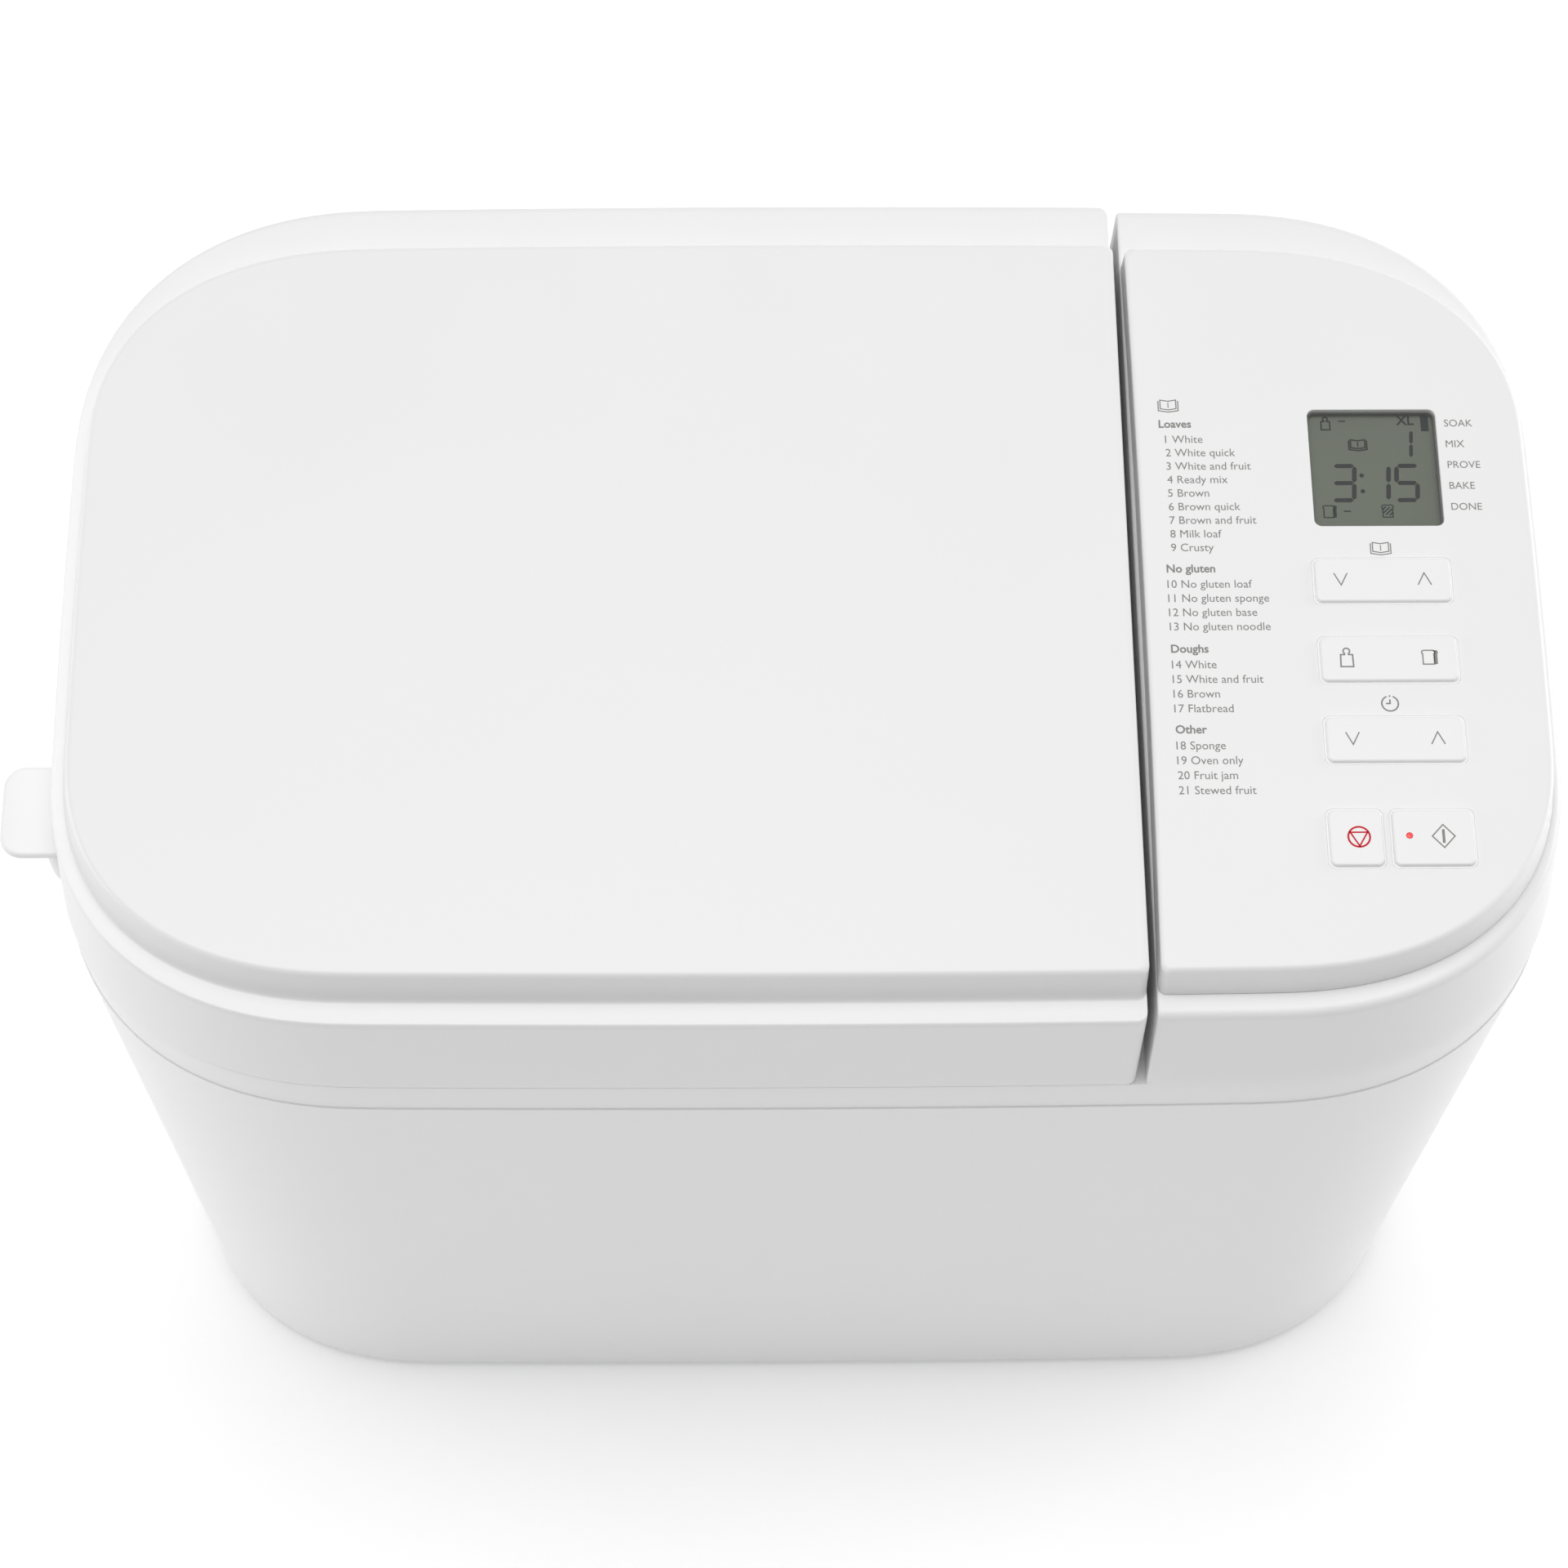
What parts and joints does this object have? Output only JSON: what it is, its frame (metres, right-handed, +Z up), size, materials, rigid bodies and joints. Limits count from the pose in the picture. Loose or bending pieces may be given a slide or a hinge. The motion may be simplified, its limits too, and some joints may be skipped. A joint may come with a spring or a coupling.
{
  "type": "bread machine",
  "caption": "Horizontal bread machine: tall white casing with a rear-hinged lid over the oven and a control panel with display and keys at the right.",
  "frame": {"origin": "middle of the whole object's footprint, on the surface that it stands on", "axes": "+X to the user's right along the length, +Y to the back where the lid is hinged, +Z up"},
  "size_m": [0.413, 0.2583, 0.3233],
  "materials": {
    "casing_white": "satin moulded",
    "panel_white": "fine satin",
    "grey_plastic": "moulded",
    "black_rubber": "matt",
    "steel": "turned",
    "sheet_steel": "coated sheet",
    "non_stick": "non-stick coating",
    "board_green": "circuit board",
    "clear_window": "clear",
    "red_lens": "lens"
  },
  "bodies": {
    "housing": {"lower_casing": "casing_white", "upper_casing": "casing_white", "control_panel": "panel_white", "display_module": "grey_plastic", "base_plate": "grey_plastic", "cord_inlet": "grey_plastic", "drive_belt": "black_rubber", "foot_front_left": "black_rubber", "foot_rear_left": "black_rubber", "foot_front_right": "black_rubber", "foot_rear_right": "black_rubber", "hinge_pin_left": "steel", "hinge_pin_right": "steel", "heating_element": "steel", "element_clip_1": "steel", "element_clip_2": "steel", "element_clip_3": "steel", "temperature_sensor": "steel", "base_screw_front_left": "steel", "base_screw_rear_left": "steel", "base_screw_front_right": "steel", "base_screw_rear_right": "steel", "pan_seat": "steel", "drive_bush": "steel", "motor": "steel", "heat_shield": "sheet_steel", "chamber_liner": "sheet_steel", "chassis": "sheet_steel", "control_board": "board_green", "power_board": "board_green", "display_window": "clear_window"},
    "lid": {"lid_shell": "casing_white", "lid_liner": "sheet_steel", "lid_seal": "black_rubber"},
    "menu_key": {"menu_key": "panel_white"},
    "loaf_key": {"loaf_key": "panel_white"},
    "timer_key": {"timer_key": "panel_white"},
    "stop_key": {"stop_key": "panel_white"},
    "start_key": {"start_key": "panel_white", "start_lamp_lens": "red_lens"},
    "drive": {"drive_shaft": "steel", "drive_coupling": "steel", "large_pulley": "grey_plastic"},
    "motor_rotor": {"motor_shaft": "steel", "motor_pulley": "grey_plastic"},
    "pan": {"bread_pan": "non_stick", "pan_foot_ring": "steel", "pan_bush": "steel", "handle_pivot_left": "steel", "handle_pivot_right": "steel"},
    "blade_drive": {"pan_shaft": "steel", "pan_coupling": "steel", "kneading_blade": "non_stick"},
    "handle": {"pan_handle": "steel"}
  },
  "joints": [
    {"name": "lid_hinge", "type": "hinge", "parent": "housing", "child": "lid", "pos_m": [-0.0452, 0.12555, 0.284], "axis": [-1, 0, 0], "range_deg": [0, 95]},
    {"name": "menu_key_rock", "type": "hinge", "parent": "housing", "child": "menu_key", "pos_m": [0.1573, -0.00585, 0.3183], "axis": [0, 1, 0], "range_deg": [-2, 2], "stiffness_Nm_per_rad": 0.3},
    {"name": "loaf_key_rock", "type": "hinge", "parent": "housing", "child": "loaf_key", "pos_m": [0.1573, -0.02905, 0.3183], "axis": [0, 1, 0], "range_deg": [-2, 2], "stiffness_Nm_per_rad": 0.3},
    {"name": "timer_key_rock", "type": "hinge", "parent": "housing", "child": "timer_key", "pos_m": [0.1573, -0.05215, 0.3183], "axis": [0, 1, 0], "range_deg": [-2, 2], "stiffness_Nm_per_rad": 0.3},
    {"name": "stop_key_press", "type": "slide", "parent": "housing", "child": "stop_key", "axis": [0, 0, -1], "range_m": [0, 0.0008], "stiffness_N_per_m": 800, "springref_m": -0.0003},
    {"name": "start_key_press", "type": "slide", "parent": "housing", "child": "start_key", "axis": [0, 0, -1], "range_m": [0, 0.0008], "stiffness_N_per_m": 800, "springref_m": -0.0003},
    {"name": "drive_spin", "type": "hinge", "parent": "housing", "child": "drive", "pos_m": [-0.0452, -0.00405, 0.0515], "axis": [0, 0, 1], "continuous": true},
    {"name": "motor_spin", "type": "hinge", "parent": "housing", "child": "motor_rotor", "pos_m": [0.1368, -0.00405, 0.024], "axis": [0, 0, 1], "continuous": true},
    {"name": "pan_lift", "type": "slide", "parent": "housing", "child": "pan", "axis": [0, 0, 1], "range_m": [0, 0.018]},
    {"name": "blade_spin", "type": "hinge", "parent": "pan", "child": "blade_drive", "pos_m": [-0.0452, -0.00405, 0.072], "axis": [0, 0, 1], "continuous": true},
    {"name": "handle_swing", "type": "hinge", "parent": "pan", "child": "handle", "pos_m": [-0.0452, -0.00405, 0.205], "axis": [1, 0, 0], "range_deg": [0, 180]}
  ],
  "couplings": [
    {"joint": "motor_spin", "follows": "drive_spin", "ratio": 4.6667},
    {"joint": "blade_spin", "follows": "drive_spin", "ratio": 1}
  ]
}
